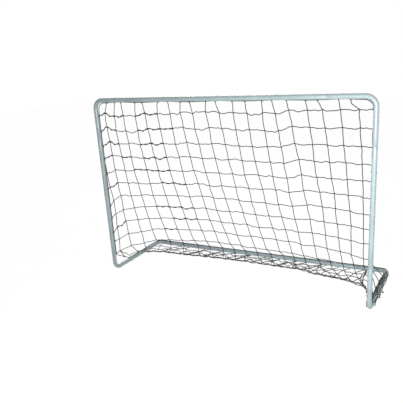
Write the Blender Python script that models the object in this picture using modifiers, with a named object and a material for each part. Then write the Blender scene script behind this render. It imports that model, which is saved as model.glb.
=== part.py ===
"""Portable soccer goal: a plug-together steel tube frame with a cord net.

Ten bent and straight tubes plug into each other, and a spring clip inside each plug
pushes a snap button through both walls. A square-mesh net hangs on a border cord.
Cable ties hold that cord to the crossbar and posts, and open clips to the base tubes.

Metres, +Z up. The origin is on the ground under the middle of the goal, the mouth
faces -Y, and the net slopes back to the rear tube at +Y.
"""
import math

import bmesh
import bpy
from mathutils import Matrix, Vector

# Overall size, outside to outside
WIDTH = 1.800
DEPTH = 0.600
HEIGHT = 1.200

# Frame tube
TUBE_DIAMETER = 0.028
TUBE_WALL = 0.0012
TUBE_SIDES = 16
BEND_STEPS = 6
TOP_BEND_RADIUS = 0.055
FOOT_BEND_RADIUS = 0.050
REAR_BEND_RADIUS = 0.035

# Corner of the centre line to the seam, on each leg of a bent tube
TOP_LEG_ACROSS = 0.250
TOP_LEG_DOWN = 0.250
FOOT_LEG_UP = 0.250
FOOT_LEG_BACK = 0.250
REAR_LEG_ACROSS = 0.200

# Plug joints: a swaged end slides into the plain end of the next tube
PLUG_LENGTH = 0.060
PLUG_CLEARANCE = 0.0003
SWAGE_LENGTH = 0.002
SEAM_GAP = 0.0003

# Spring clip and its snap button
STRIP_WIDTH = 0.008
STRIP_THICKNESS = 0.0008
STRIP_CLEARANCE = 0.0003
STRIP_END = 0.006
CLIP_ARM = 0.040
CLIP_BEND_STEPS = 6
HINGE_GAP = 0.0003
BUTTON_DIAMETER = 0.007
BUTTON_TIP_DIAMETER = 0.0045
BUTTON_CROWN = 0.0012
BUTTON_PROUD = 0.0018
BUTTON_HOLE_CLEARANCE = 0.0005
BUTTON_FROM_SEAM = 0.030
BUTTON_SIDES = 12

# Net: rows of knots between the crossbar and the base, columns across the back and the right side
NET_CORD = 0.003
KNOT_ROWS = 11
BACK_COLUMNS = 20
RIGHT_COLUMNS = 5
# Distance round the net from the left post to columns 1 to 20, on the first and the last row
FIRST_ROUND = (0.057, 0.131, 0.202, 0.301, 0.375, 0.468, 0.558, 0.631, 0.717, 0.809, 0.893,
               0.988, 1.073, 1.168, 1.247, 1.318, 1.422, 1.505, 1.602, 1.698)
LAST_ROUND = (0.177, 0.343, 0.496, 0.632, 0.760, 0.866, 0.972, 1.081, 1.175, 1.268, 1.378,
              1.470, 1.568, 1.660, 1.753, 1.848, 1.938, 2.025, 2.110, 2.190)
# Heights of the first and the last row and the bow and lift of the columns between, by column
FIRST_HIGH = ((1, 1.099), (2, 1.078), (5, 1.094), (8, 1.103), (15, 1.096), (16, 1.116), (20, 1.115))
LAST_HIGH = ((1, 0.120), (2, 0.086), (4, 0.053), (8, 0.082), (14, 0.065), (16, 0.044), (20, -0.030))
BOW = ((1, 0.005), (4, 0.030), (8, 0.030), (14, 0.021), (16, 0.009), (20, 0.003))
LIFT = ((1, 0.0), (15, 0.002), (16, 0.015), (20, 0.033))
# How far out the fold between the back and the right side lies, and how wide the left corner
# is rounded, by height
FOLD_X = ((0.0, 0.783), (0.3, 0.802), (0.6, 0.830), (0.9, 0.856), (1.17, 0.880))
LEFT_SOFT = ((0.1, 0.17), (0.3, 0.15), (0.6, 0.10), (1.17, 0.01))
RIGHT_SOFT = 0.05
# Where the columns end on the crossbar and on the rear and side tubes, and the rows on the posts
CROSSBAR_AT = (-0.807, -0.742, -0.690, -0.582, -0.529, -0.413, -0.342, -0.252, -0.191, -0.081,
               -0.020, 0.088, 0.167, 0.269, 0.326, 0.411, 0.517, 0.581, 0.693, 0.757, 0.830)
LEFT_SIDE_AT = (-0.003, 0.100)
REAR_AT = (-0.778, -0.659, -0.529, -0.426, -0.314, -0.215, -0.124, -0.032, 0.077, 0.172,
           0.248, 0.329, 0.432, 0.508, 0.591, 0.666, 0.733, 0.800)
RIGHT_SIDE_AT = (0.150, 0.040, -0.070)
LEFT_POST_AT = (1.084, 0.984, 0.885, 0.801, 0.698, 0.600, 0.476, 0.388, 0.284, 0.218, 0.123)
RIGHT_POST_FIRST = 1.100
RIGHT_POST_STEP = 0.0985
# The right side's first column in shares of a mesh from the fold, and how near column 20 it comes
FIRST_RIGHT_SHARE = 0.35
LEAST_COLUMN_GAP = 0.045
# Where the net leaves the border cord's slanted stretch at each foot, as a share of that stretch
FOOT_SHARE = 0.614
# Least height of a row above the base's, and how much wider a slanted cord makes a seam
ROW_ABOVE_BASE = 0.012
SEAM_SLANT = 1.6

# Border cord and the loose skirt on the ground
SKIRT_COLUMNS = 7
SKIRT_ROWS = 2
BORDER_CORD = 0.005
BORDER_BEND_STEPS = 4
FOOT_CUT_UP = 0.100
FOOT_CUT_BACK = 0.165
FOOT_CUT_ROUNDING = 0.015
SKIRT_SIDE_GAP = 0.072
SKIRT_TAPER = 0.040
SKIRT_DEPTH = 0.150
SKIRT_LIFT = 0.0005

# Cable ties round the upper tubes and the border cord
TIE_WIDTH = 0.0035
TIE_THICKNESS = 0.0011
TIE_HEAD = (0.0055, 0.0045, 0.0040)
TIE_HEAD_TURN = math.radians(70)
TIE_STEPS = 12
CROSSBAR_TIES = 5
CROSSBAR_TIE_FROM_CORNER = 0.166
POST_TIES_BELOW_CROSSBAR = (0.386, 0.106)
POST_TIES_ABOVE_BASE = (0.226, 0.546)

# Open clips on the base tubes, which hold the border cord and leave the underside bare
CLIP_WIDTH = 0.012
CLIP_THICKNESS = 0.0016
CLIP_HALF_OPENING = math.radians(38)
CLIP_STEPS = 6
SIDE_CLIP_FROM_POST = 0.180
SIDE_CLIP_FROM_REAR = 0.152
REAR_CLIPS = 4
REAR_CLIP_FROM_CORNER = 0.346

# Gap between pieces that touch on the real goal
TOUCH_GAP = 0.0003

# Edges flatter than this are shaded smooth
SMOOTH_ANGLE = math.radians(35)

TUBE_RADIUS = TUBE_DIAMETER / 2
PLUG_RADIUS = TUBE_RADIUS - TUBE_WALL - PLUG_CLEARANCE
POST_X = WIDTH / 2 - TUBE_RADIUS
MOUTH_Y = -(DEPTH / 2 - TUBE_RADIUS)
REAR_Y = DEPTH / 2 - TUBE_RADIUS
CROSSBAR_Z = HEIGHT - TUBE_RADIUS
BASE_Z = TUBE_RADIUS

# The border cord and the net's edge lie on the inner and back side of the crossbar and
# posts, at 45 degrees, and on top of the base tubes
BORDER_SIDES = 8
BORDER_RADIUS = BORDER_CORD / 2
NET_RADIUS = NET_CORD / 2
BORDER_OFFSET = TUBE_RADIUS + TOUCH_GAP + BORDER_RADIUS
BAND_THICKNESS = max(TIE_THICKNESS, CLIP_THICKNESS)
NET_OFFSET = BORDER_OFFSET + BORDER_RADIUS + BAND_THICKNESS + 3 * TOUCH_GAP + NET_RADIUS
BORDER_INSET = BORDER_OFFSET / math.sqrt(2)
NET_INSET = NET_OFFSET / math.sqrt(2)
NET_FRONT, NET_TOP, NET_LOW = MOUTH_Y + NET_INSET, CROSSBAR_Z - NET_INSET, BASE_Z + NET_OFFSET

X = Vector((1, 0, 0))
Y = Vector((0, 1, 0))
Z = Vector((0, 0, 1))


def start_empty():
    """Remove the old objects and make one collection for parts and one for cutters."""
    for old in list(bpy.data.objects):
        bpy.data.objects.remove(old)
    collections = []
    for name in ("portable_soccer_goal", "cutters"):
        collection = bpy.data.collections.new(name)
        bpy.context.scene.collection.children.link(collection)
        collections.append(collection)
    return collections


PARTS, CUTTERS = start_empty()


def material(name, color, roughness, metallic):
    """A Principled material with one colour."""
    mat = bpy.data.materials.new(name)
    mat.use_nodes = True
    bsdf = mat.node_tree.nodes["Principled BSDF"]
    bsdf.inputs["Base Color"].default_value = (*color, 1)
    bsdf.inputs["Roughness"].default_value = roughness
    bsdf.inputs["Metallic"].default_value = metallic
    return mat


TUBE_PAINT = material("grey_tube_paint", (0.42, 0.47, 0.48), 0.45, 0.3)
SPRING_STEEL = material("zinc_spring_steel", (0.55, 0.55, 0.56), 0.35, 1.0)
NET_TWINE = material("black_net_twine", (0.02, 0.022, 0.02), 0.9, 0.0)
BORDER_ROPE = material("black_border_rope", (0.015, 0.016, 0.016), 0.85, 0.0)
NYLON = material("natural_nylon", (0.75, 0.77, 0.78), 0.5, 0.0)


def add_object(name, mesh, mat, collection=None):
    """Link a new mesh object and give it its material."""
    obj = bpy.data.objects.new(name, mesh)
    (collection or PARTS).objects.link(obj)
    if mat:
        mesh.materials.append(mat)
    return obj


def add_cutter(name, mesh):
    """A guide body for Booleans, left out of the part."""
    obj = add_object(name, mesh, None, CUTTERS)
    obj.hide_render = True
    obj.display_type = "WIRE"
    return obj


def boolean(obj, cutter, operation):
    """Cut or join with the exact solver."""
    step = obj.modifiers.new(f"{operation.lower()}_{cutter.name}", "BOOLEAN")
    step.operation = operation
    step.object = cutter


def curve_mesh(name, points, diameter, sides, closed):
    """Surface of a round bar along points of (position, diameter share), flats on the axes."""
    curve = bpy.data.curves.new(name, "CURVE")
    curve.dimensions = "3D"
    curve.bevel_depth = diameter / 2 / math.cos(math.pi / sides)
    curve.bevel_resolution = sides // 2 - 2
    spline = curve.splines.new("POLY")
    spline.points.add(len(points) - 1)
    for point, (place, share) in zip(spline.points, points):
        point.co = (*place, 1)
        point.radius = share
        point.tilt = math.pi / sides
    spline.use_cyclic_u = closed
    bar = bpy.data.objects.new(name, curve)
    PARTS.objects.link(bar)
    bpy.context.view_layer.update()
    evaluated = bar.evaluated_get(bpy.context.evaluated_depsgraph_get())
    mesh = bpy.data.meshes.new_from_object(evaluated)
    bpy.data.objects.remove(bar)
    body = bmesh.new()
    body.from_mesh(mesh)
    bmesh.ops.recalc_face_normals(body, faces=body.faces)
    body.to_mesh(mesh)
    body.free()
    mesh.name = name
    mesh.shade_smooth()
    mesh.set_sharp_from_angle(angle=SMOOTH_ANGLE)
    return mesh


def bend(corner, leg_in, leg_out, radius, steps):
    """Points of a quarter bend that rounds the corner between two legs that leave it."""
    centre = corner + (leg_in + leg_out) * radius
    points = []
    for step in range(steps + 1):
        turn = math.pi / 2 * step / steps
        points.append(centre - (leg_out * math.cos(turn) + leg_in * math.sin(turn)) * radius)
    return points


def leg_end(corner, leg, seam, plug):
    """Points of a leg's end from its tip inwards: swaged as a plug, or plain."""
    if not plug:
        return [(corner + leg * (seam - SEAM_GAP), 1)]
    share = PLUG_RADIUS / TUBE_RADIUS
    return [
        (corner + leg * (seam + PLUG_LENGTH), share),
        (corner + leg * seam, share),
        (corner + leg * (seam - SWAGE_LENGTH), 1),
    ]


def hollow_tube(name, points):
    """A tube with its wall inside the outer surface."""
    mesh = curve_mesh(name, points, TUBE_DIAMETER, TUBE_SIDES, closed=False)
    tube = add_object(name, mesh, TUBE_PAINT)
    wall = tube.modifiers.new("wall", "SOLIDIFY")
    wall.thickness = TUBE_WALL
    wall.offset = -1
    wall.use_even_offset = True
    return tube


def bent_tube(name, corner, first, second, radius):
    """A tube with one quarter bend; first and second are (leg, seam, plug)."""
    points = leg_end(corner, *first)
    rounded = bend(corner, first[0], second[0], radius, BEND_STEPS)
    points += [(place, 1) for place in rounded]
    points += reversed(leg_end(corner, *second))
    return hollow_tube(name, points)


def straight_tube(name, corner_a, corner_b, trim_a, trim_b):
    """A plain tube between two corners of the centre line, short of each by its trim."""
    along = (corner_b - corner_a).normalized()
    start = corner_a + along * (trim_a + SEAM_GAP)
    end = corner_b - along * (trim_b + SEAM_GAP)
    return hollow_tube(name, [(start, 1), (end, 1)])


def frame_tubes():
    """The ten tubes, by name."""
    tubes = {}
    top_left = Vector((-POST_X, MOUTH_Y, CROSSBAR_Z))
    top_right = Vector((POST_X, MOUTH_Y, CROSSBAR_Z))
    tubes["crossbar"] = straight_tube("crossbar_tube", top_left, top_right, TOP_LEG_ACROSS, TOP_LEG_ACROSS)
    rear_left = Vector((-POST_X, REAR_Y, BASE_Z))
    rear_right = Vector((POST_X, REAR_Y, BASE_Z))
    tubes["rear"] = straight_tube("rear_tube", rear_left, rear_right, REAR_LEG_ACROSS, REAR_LEG_ACROSS)
    side_leg = REAR_Y - MOUTH_Y - FOOT_LEG_BACK
    for side, sign in (("left", -1), ("right", 1)):
        top = Vector((sign * POST_X, MOUTH_Y, CROSSBAR_Z))
        foot = Vector((sign * POST_X, MOUTH_Y, BASE_Z))
        rear = Vector((sign * POST_X, REAR_Y, BASE_Z))
        inward = X * -sign
        tubes[f"top_corner_{side}"] = bent_tube(
            f"top_corner_tube_{side}", top, (inward, TOP_LEG_ACROSS, True), (-Z, TOP_LEG_DOWN, True),
            TOP_BEND_RADIUS)
        tubes[f"post_{side}"] = straight_tube(f"post_tube_{side}", top, foot, TOP_LEG_DOWN, FOOT_LEG_UP)
        tubes[f"foot_{side}"] = bent_tube(
            f"foot_tube_{side}", foot, (Z, FOOT_LEG_UP, True), (Y, FOOT_LEG_BACK, True), FOOT_BEND_RADIUS)
        tubes[f"rear_corner_{side}"] = bent_tube(
            f"rear_corner_tube_{side}", rear, (-Y, side_leg, False), (inward, REAR_LEG_ACROSS, True),
            REAR_BEND_RADIUS)
    return tubes


def plug_joints():
    """Each plug joint: name, seam, direction of the plug, button's direction, plug, socket."""
    joints = []
    for side, sign in (("left", -1), ("right", 1)):
        inward = X * -sign
        top = Vector((sign * POST_X, MOUTH_Y, CROSSBAR_Z))
        foot = Vector((sign * POST_X, MOUTH_Y, BASE_Z))
        rear = Vector((sign * POST_X, REAR_Y, BASE_Z))
        joints += [
            (f"crossbar_{side}", top + inward * TOP_LEG_ACROSS, inward, Y, f"top_corner_{side}", "crossbar"),
            (f"post_top_{side}", top - Z * TOP_LEG_DOWN, -Z, Y, f"top_corner_{side}", f"post_{side}"),
            (f"post_foot_{side}", foot + Z * FOOT_LEG_UP, Z, Y, f"foot_{side}", f"post_{side}"),
            (f"side_{side}", foot + Y * FOOT_LEG_BACK, Y, inward, f"foot_{side}", f"rear_corner_{side}"),
            (f"rear_{side}", rear + inward * REAR_LEG_ACROSS, inward, -Y, f"rear_corner_{side}", "rear"),
        ]
    return joints


def axes_at(origin, along, out):
    """Matrix whose X runs along the tube and whose Z points out at the button."""
    across = out.cross(along)
    turn = Matrix((along, across, out)).transposed()
    return Matrix.Translation(origin) @ turn.to_4x4()


def cylinder_mesh(name, radius, tip_radius, low, high, sides):
    """A cylinder or cone from low to high on Z."""
    mesh = bpy.data.meshes.new(name)
    body = bmesh.new()
    place = Matrix.Translation((0, 0, (low + high) / 2))
    bmesh.ops.create_cone(body, cap_ends=True, segments=sides, radius1=radius, radius2=tip_radius,
                          depth=high - low, matrix=place)
    body.to_mesh(mesh)
    body.free()
    return mesh


def ribbon_mesh(name, profile, width, closed=False):
    """A profile of (x, z) points drawn out along Y as an open surface."""
    mesh = bpy.data.meshes.new(name)
    body = bmesh.new()
    verts = [body.verts.new((x, -width / 2, z)) for x, z in profile]
    edges = [body.edges.new(pair) for pair in zip(verts, verts[1:])]
    if closed:
        edges.append(body.edges.new((verts[-1], verts[0])))
    drawn = bmesh.ops.extrude_edge_only(body, edges=edges)["geom"]
    moved = [item for item in drawn if isinstance(item, bmesh.types.BMVert)]
    bmesh.ops.translate(body, verts=moved, vec=(0, width, 0))
    bmesh.ops.recalc_face_normals(body, faces=body.faces)
    body.to_mesh(mesh)
    body.free()
    return mesh


def strip_centre():
    """Distance of the clip's leg from the tube's centre: its corners clear the plug's bore."""
    bore = PLUG_RADIUS - TUBE_WALL - STRIP_CLEARANCE
    face = math.sqrt(bore ** 2 - (STRIP_WIDTH / 2) ** 2)
    return face - STRIP_THICKNESS / 2


def spring_clip(name, seam, along, out):
    """The clip's fixed leg and its round bend, which carries the button's leg."""
    height = strip_centre()
    end = CLIP_ARM + STRIP_END
    profile = [(end, -height)]
    for step in range(CLIP_BEND_STEPS + 1):
        turn = math.pi * step / CLIP_BEND_STEPS
        profile.append((-math.sin(turn) * height, -math.cos(turn) * height))
    profile[-1] = (-HINGE_GAP / 2, height)
    clip = add_object(f"spring_clip_{name}", ribbon_mesh(f"spring_clip_{name}", profile, STRIP_WIDTH),
                      SPRING_STEEL)
    thick = clip.modifiers.new("thickness", "SOLIDIFY")
    thick.thickness = STRIP_THICKNESS
    thick.offset = 0
    thick.use_even_offset = True
    clip.matrix_world = axes_at(seam + along * (BUTTON_FROM_SEAM - CLIP_ARM), along, out)


def snap_button(name, seam, along, out):
    """The clip's moving leg with its button; the origin is on the flex line at the bend."""
    height = strip_centre()
    leg_name = f"snap_button_{name}"
    profile = [(HINGE_GAP / 2, 0), (CLIP_ARM + STRIP_END, 0)]
    leg = add_object(leg_name, ribbon_mesh(leg_name, profile, STRIP_WIDTH), SPRING_STEEL)
    thick = leg.modifiers.new("thickness", "SOLIDIFY")
    thick.thickness = STRIP_THICKNESS
    thick.offset = 0
    leg.matrix_world = axes_at(seam + along * (BUTTON_FROM_SEAM - CLIP_ARM) + out * height, along, out)
    top = TUBE_RADIUS + BUTTON_PROUD - height
    shank = add_cutter(f"shank_{name}", cylinder_mesh(
        f"shank_{name}", BUTTON_DIAMETER / 2, BUTTON_DIAMETER / 2, 0, top - BUTTON_CROWN, BUTTON_SIDES))
    crown = add_cutter(f"crown_{name}", cylinder_mesh(
        f"crown_{name}", BUTTON_DIAMETER / 2, BUTTON_TIP_DIAMETER / 2, top - BUTTON_CROWN, top, BUTTON_SIDES))
    place = leg.matrix_world @ Matrix.Translation((CLIP_ARM, 0, 0))
    for piece in (shank, crown):
        piece.matrix_world = place
        boolean(leg, piece, "UNION")


def button_hole(name, seam, along, out, tubes):
    """One hole through the plug and its socket, on the button's side only."""
    radius = BUTTON_DIAMETER / 2 + BUTTON_HOLE_CLEARANCE
    drill = add_cutter(f"drill_{name}", cylinder_mesh(
        f"drill_{name}", radius, radius, 0, TUBE_DIAMETER, BUTTON_SIDES))
    drill.matrix_world = axes_at(seam + along * BUTTON_FROM_SEAM, along, out)
    for tube in tubes:
        boolean(tube, drill, "DIFFERENCE")


def soft_corner(before, corner, after):
    """Points of a slack turn at a corner between its neighbours, on a parabola."""
    start = corner + (before - corner).normalized() * FOOT_CUT_ROUNDING
    end = corner + (after - corner).normalized() * FOOT_CUT_ROUNDING
    points = []
    for step in range(BORDER_BEND_STEPS + 1):
        share = step / BORDER_BEND_STEPS
        points.append(start * (1 - share) ** 2 + corner * 2 * share * (1 - share) + end * share ** 2)
    return points


def border_cord():
    """One closed loop of cord, under the crossbar, down the posts and over the base tubes.

    At each foot it leaves the post above the bend and crosses to the side tube.
    """
    inner, front, high = POST_X - BORDER_INSET, MOUTH_Y + BORDER_INSET, CROSSBAR_Z - BORDER_INSET
    top = BASE_Z + BORDER_OFFSET
    round_top, steps = TOP_BEND_RADIUS - BORDER_INSET, BORDER_BEND_STEPS
    feet = {}
    for sign in (-1, 1):
        leaves = Vector((sign * inner, front, BASE_Z + FOOT_CUT_UP))
        lands = Vector((sign * POST_X, MOUTH_Y + FOOT_CUT_BACK, top))
        feet[sign] = soft_corner(leaves + Z, leaves, lands) + soft_corner(leaves, lands, lands + Y)
    points = bend(Vector((-inner, front, high)), -Z, X, round_top, steps)
    points += bend(Vector((inner, front, high)), -X, -Z, round_top, steps)
    points += feet[1]
    points += bend(Vector((POST_X, REAR_Y, top)), -Y, -X, REAR_BEND_RADIUS, steps)
    points += bend(Vector((-POST_X, REAR_Y, top)), X, -Y, REAR_BEND_RADIUS, steps)
    points += reversed(feet[-1])
    points = [(place, 1) for place in points]
    mesh = curve_mesh("net_border_cord", points, BORDER_CORD, BORDER_SIDES, closed=True)
    add_object("net_border_cord", mesh, BORDER_ROPE)


def by(key, pairs):
    """Value at a key, on straight lines between (key, value) pairs."""
    for (low, first), (high, last) in zip(pairs, pairs[1:]):
        if key <= high:
            return first + (last - first) * max(key - low, 0) / (high - low)
    return pairs[-1][1]


def back_y(high):
    """How far back the sloping net is at a height."""
    return NET_FRONT + (NET_TOP - high) * (REAR_Y - NET_FRONT) / (NET_TOP - NET_LOW)


def net_corners(high):
    """The net's four corners at a height: left post, left and right fold, right post."""
    edge = Vector((POST_X - BORDER_INSET, MOUTH_Y + BORDER_INSET, high))
    back = back_y(high)
    return [Vector((-edge.x, edge.y, high)), Vector((-edge.x, back, high)),
            Vector((by(high, FOLD_X), back, high)), edge]


def net_place(gone, high):
    """Place on the net at a distance round it from the left post and a height.

    It goes straight between the corners, with a parabola through each fold.
    """
    corners = net_corners(high)
    lengths = [(end - start).length for start, end in zip(corners, corners[1:])]

    def sharp(distance):
        leg = 0
        while leg < 2 and distance > lengths[leg]:
            distance -= lengths[leg]
            leg += 1
        return corners[leg].lerp(corners[leg + 1], distance / lengths[leg])

    for fold, soft in ((1, by(high, LEFT_SOFT)), (2, RIGHT_SOFT)):
        at, soft = sum(lengths[:fold]), min(soft, lengths[0])
        share = (gone - at + soft) / (2 * soft)
        if 0 < share < 1:
            return (sharp(at - soft) * (1 - share) ** 2 + corners[fold] * 2 * share * (1 - share)
                    + sharp(at + soft) * share ** 2)
    return sharp(gone)


def knot(row, column, aside):
    """A knot of the net: row 0 is the crossbar and 12 the base, column 0 and 26 the posts."""
    if row == 0:
        return top_end(column, aside)
    if row > KNOT_ROWS:
        return base_end(column, aside)
    if column == 0:
        return Vector((NET_INSET - POST_X, NET_FRONT, LEFT_POST_AT[row - 1]))
    if column > BACK_COLUMNS + RIGHT_COLUMNS:
        return Vector((POST_X - NET_INSET, NET_FRONT, right_post_high(row)))
    return free_knot(row, column, aside)


def free_knot(row, column, aside):
    """A knot off the frame, moved aside round the net.

    Columns past the back share out what the row has left between it and the right post.
    """
    share = (row - 1) / (KNOT_ROWS - 1)
    arch = 4 * share * (1 - share)
    back_column = min(column, BACK_COLUMNS)
    gone = FIRST_ROUND[back_column - 1] * (1 - share) + LAST_ROUND[back_column - 1] * share
    gone -= arch * by(back_column, BOW)
    high = by(back_column, FIRST_HIGH) * (1 - share) + by(back_column, LAST_HIGH) * share
    high += arch * by(back_column, LIFT)
    if column > BACK_COLUMNS:
        post_high = right_post_high(row)
        corners = net_corners(post_high)
        lengths = [(end - start).length for start, end in zip(corners, corners[1:])]
        part = (column - BACK_COLUMNS - 1 + FIRST_RIGHT_SHARE) / RIGHT_COLUMNS
        start = max(gone + LEAST_COLUMN_GAP, sum(lengths) - lengths[2])
        gone = start + (sum(lengths) - start) * part
        high += (post_high - high) * part
    high = max(high, NET_LOW + ROW_ABOVE_BASE)
    place = net_place(gone, high)
    if not aside:
        return place
    heading = net_place(gone + NET_CORD, high) - place
    down = knot(row + 1, column, 0) - knot(row - 1, column, 0)
    return place + (heading - heading.project(down)).normalized() * aside


def right_post_high(row):
    """Height of a row's end on the right post."""
    return RIGHT_POST_FIRST - RIGHT_POST_STEP * (row - 1)


def top_end(column, aside):
    """Where a column ends along the border cord at the top; column 0 is in the left bend."""
    if column:
        return Vector((CROSSBAR_AT[column - 1] + aside, NET_FRONT, NET_TOP))
    reach = (TOP_BEND_RADIUS - NET_INSET) * math.cos(math.pi / 4)
    return Vector((TOP_BEND_RADIUS - POST_X - reach, NET_FRONT, CROSSBAR_Z - TOP_BEND_RADIUS + reach))


def base_end(column, aside):
    """Where a column ends along the border cord at the base; 0 and 26 are beside the feet."""
    inset = REAR_BEND_RADIUS * (1 - math.cos(math.pi / 4))
    shift = aside * math.cos(math.pi / 4)
    left = [(-POST_X, back) for back in LEFT_SIDE_AT]
    left += [(inset - POST_X + shift, REAR_Y - inset + shift)]
    rear = [(across + aside, REAR_Y) for across in REAR_AT]
    right = [(POST_X, back) for back in RIGHT_SIDE_AT]
    if 0 < column <= len(left + rear + right):
        return Vector((*(left + rear + right)[column - 1], NET_LOW))
    leaves = Vector((POST_X - BORDER_INSET, MOUTH_Y + BORDER_INSET, BASE_Z + FOOT_CUT_UP))
    lands = Vector((POST_X, MOUTH_Y + FOOT_CUT_BACK, BASE_Z + BORDER_OFFSET))
    place = leaves.lerp(lands, FOOT_SHARE)
    place += (lands - leaves).cross(X).normalized() * (BORDER_OFFSET - NET_OFFSET)
    return place if column else Vector((-place.x, place.y, place.z))


def net_panel(name, knots):
    """Square mesh of cord through rows of knots."""
    mesh = bpy.data.meshes.new(name)
    body = bmesh.new()
    rows, columns = len(knots) - 1, len(knots[0]) - 1
    bmesh.ops.create_grid(body, x_segments=columns, y_segments=rows, size=0.5)
    for vert in body.verts:
        vert.co = knots[round((vert.co.y + 0.5) * rows)][round((vert.co.x + 0.5) * columns)]
    bmesh.ops.recalc_face_normals(body, faces=body.faces)
    body.to_mesh(mesh)
    body.free()
    panel = add_object(name, mesh, NET_TWINE)
    cords = panel.modifiers.new("cords", "WIREFRAME")
    cords.thickness = NET_CORD
    cords.use_replace = True
    cords.use_boundary = True
    cords.use_even_offset = True


def net_panels():
    """The left side, the sloping back, the right side, and the loose skirt on the ground."""
    last = BACK_COLUMNS + 1
    beside = NET_CORD * SEAM_SLANT + TOUCH_GAP
    post = BACK_COLUMNS + RIGHT_COLUMNS + 1
    # above its second row the right side is too narrow for a mesh
    panels = [
        ("side_net_left", 0, [(0, 0), (1, 0), (2, 0), (3, -beside)]),
        ("back_net", 0, [(column, 0) for column in range(3, last + 1)]),
        ("side_net_right", 2, [(last, beside), (last + 2, 0), (last + 3, 0), (post, 0)]),
    ]
    for name, first_row, columns in panels:
        knots = [[knot(row, column, aside) for column, aside in columns]
                 for row in range(first_row, KNOT_ROWS + 2)]
        net_panel(name, knots)

    skirt_z = NET_RADIUS + SKIRT_LIFT
    clear = TUBE_RADIUS + CLIP_THICKNESS + 3 * TOUCH_GAP + NET_RADIUS
    reach = math.sqrt(2) * clear - (TUBE_RADIUS - skirt_z)
    knots = []
    for row in range(SKIRT_ROWS + 1):
        down = row / SKIRT_ROWS
        reach_x = POST_X - TUBE_RADIUS - SKIRT_SIDE_GAP - SKIRT_TAPER * down
        knots.append([Vector((across, REAR_Y - reach - SKIRT_DEPTH * down, skirt_z))
                      for across in spread(-reach_x, reach_x, SKIRT_COLUMNS)])
    net_panel("net_skirt", knots)


def band_outline(turns):
    """Inner outline of a band in its own plane: round the tube, and out round the border cord.

    The turns are where it lies on the tube, measured from the border cord's direction.
    They start after the cord and end before it, where the band leaves on the tangents.
    """
    big = TUBE_RADIUS / math.cos(math.pi / TUBE_SIDES) + TOUCH_GAP
    widest = max(b - a for a, b in zip(turns, turns[1:]))
    reach = big / math.cos(widest / 2)
    return [(reach * math.cos(turn), reach * math.sin(turn)) for turn in turns]


def cord_outline():
    """Where a band lies round the border cord, and the turn at which it leaves the tube."""
    big = TUBE_RADIUS / math.cos(math.pi / TUBE_SIDES) + TOUCH_GAP
    small = BORDER_RADIUS / math.cos(math.pi / BORDER_SIDES) + TOUCH_GAP
    lean = math.acos((big - small) / BORDER_OFFSET)
    reach = small / math.cos(lean / 2)
    return lean, [(BORDER_OFFSET + reach * math.cos(turn), reach * math.sin(turn))
                  for turn in (-lean / 2, lean / 2)]


def spread(first, last, steps):
    """Even steps from first to last, both included."""
    return [first + (last - first) * step / steps for step in range(steps + 1)]


def band(name, outline, closed, width, thickness, centre, along, out):
    """A strap of plastic along an outline whose own X points out at the border cord."""
    strap = add_object(name, ribbon_mesh(name, outline, width, closed), NYLON)
    thick = strap.modifiers.new("thickness", "SOLIDIFY")
    thick.thickness = thickness
    thick.offset = 1
    thick.use_even_offset = True
    turn = Matrix((out, along, out.cross(along))).transposed()
    strap.matrix_world = Matrix.Translation(centre) @ turn.to_4x4()
    return strap


def cable_tie(name, centre, along, out):
    """A nylon strap closed round the tube and the border cord, with its ratchet head."""
    lean, nose = cord_outline()
    outline = band_outline(spread(lean, 2 * math.pi - lean, TIE_STEPS)) + nose
    tie = band(name, outline, True, TIE_WIDTH, TIE_THICKNESS, centre, along, out)
    head_mesh = bpy.data.meshes.new(f"head_{name}")
    body = bmesh.new()
    bmesh.ops.create_cube(body, size=1, matrix=Matrix.Diagonal((*TIE_HEAD, 1)))
    body.to_mesh(head_mesh)
    body.free()
    head = add_cutter(f"head_{name}", head_mesh)
    reach = TUBE_RADIUS / math.cos(math.pi / TUBE_SIDES) + 2 * TOUCH_GAP + TIE_HEAD[0] / 2
    head.matrix_world = (tie.matrix_world @ Matrix.Rotation(-TIE_HEAD_TURN, 4, "Y")
                         @ Matrix.Translation((reach, 0, 0)))
    boolean(tie, head, "UNION")


def net_clip(name, centre, along):
    """A springy C-shaped clip, open underneath, whose nose on top holds the border cord."""
    lean, nose = cord_outline()
    one_side = spread(lean, math.pi - CLIP_HALF_OPENING, CLIP_STEPS)
    other_side = spread(math.pi + CLIP_HALF_OPENING, 2 * math.pi - lean, CLIP_STEPS)
    outline = band_outline(other_side) + nose + band_outline(one_side)
    band(name, outline, False, CLIP_WIDTH, CLIP_THICKNESS, centre, along, Z)


def net_fasteners():
    """Ties along the crossbar and the posts, and clips along the side and rear tubes."""
    ties = []
    end = POST_X - CROSSBAR_TIE_FROM_CORNER
    for across in spread(-end, end, CROSSBAR_TIES - 1):
        ties.append((Vector((across, MOUTH_Y, CROSSBAR_Z)), -X, Y - Z))
    heights = [BASE_Z + above for above in POST_TIES_ABOVE_BASE]
    heights += [CROSSBAR_Z - below for below in POST_TIES_BELOW_CROSSBAR]
    for sign in (-1, 1):
        for height in heights:
            ties.append((Vector((sign * POST_X, MOUTH_Y, height)), Z * sign, Y - X * sign))
    for number, (centre, along, out) in enumerate(ties, 1):
        cable_tie(f"cable_tie_{number:02d}", centre, along, out.normalized())
    clips = []
    for sign in (-1, 1):
        for back in (MOUTH_Y + SIDE_CLIP_FROM_POST, REAR_Y - SIDE_CLIP_FROM_REAR):
            clips.append((Vector((sign * POST_X, back, BASE_Z)), Y))
    end = POST_X - REAR_CLIP_FROM_CORNER
    for across in spread(-end, end, REAR_CLIPS - 1):
        clips.append((Vector((across, REAR_Y, BASE_Z)), X))
    for number, (centre, along) in enumerate(clips, 1):
        net_clip(f"net_clip_{number}", centre, along)


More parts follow.
